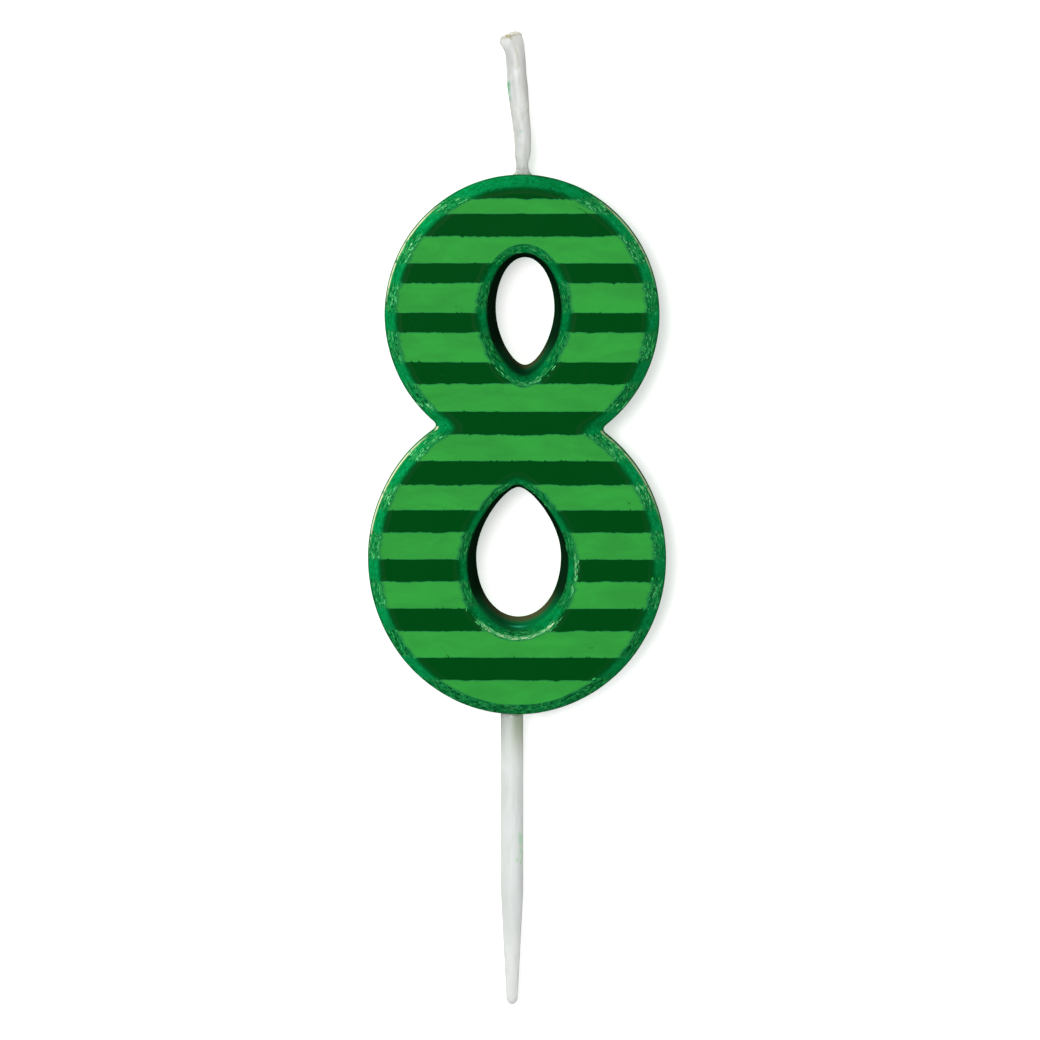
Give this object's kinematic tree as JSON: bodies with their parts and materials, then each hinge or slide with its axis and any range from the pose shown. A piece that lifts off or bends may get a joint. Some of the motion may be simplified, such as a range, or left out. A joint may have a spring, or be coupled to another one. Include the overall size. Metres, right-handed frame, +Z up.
{
  "type": "number birthday candle",
  "caption": "Moulded wax numeral 8 with bevelled edges, light green foil stripes, a primed wick on top and a round plastic cake pick that the numeral slides off.",
  "frame": {"origin": "on the pick's axis at the numeral's underside, where the icing's surface is", "axes": "+Z up towards the wick, the striped front faces -Y, +X to the right of the front"},
  "size_m": [0.0373, 0.0106, 0.1224],
  "materials": {
    "green_wax": null,
    "stripe_foil": "satin light green stamped foil with ragged edges",
    "wick_cotton": "braided cotton soaked in wax",
    "wick_wax": null,
    "pick_plastic": "white translucent moulded plastic with faint green wax smears"
  },
  "bodies": {
    "pick": {"cake_pick": "pick_plastic"},
    "numeral": {"wax_numeral": "green_wax", "wick_braid": "wick_cotton", "wick_wax_coat": "wick_wax", "wick_collar": "wick_wax", "foil_stripe_01": "stripe_foil", "foil_stripe_02": "stripe_foil", "foil_stripe_03_left": "stripe_foil", "foil_stripe_03_right": "stripe_foil", "foil_stripe_04_left": "stripe_foil", "foil_stripe_04_right": "stripe_foil", "foil_stripe_05": "stripe_foil", "foil_stripe_06": "stripe_foil", "foil_stripe_07_left": "stripe_foil", "foil_stripe_07_right": "stripe_foil", "foil_stripe_08_left": "stripe_foil", "foil_stripe_08_right": "stripe_foil", "foil_stripe_09_left": "stripe_foil", "foil_stripe_09_right": "stripe_foil", "foil_stripe_10": "stripe_foil", "foil_stripe_11": "stripe_foil"}
  },
  "joints": [
    {"name": "numeral_lift", "type": "slide", "parent": "pick", "child": "numeral", "axis": [0, 0, 1], "range_m": [0, 0.0085]}
  ]
}
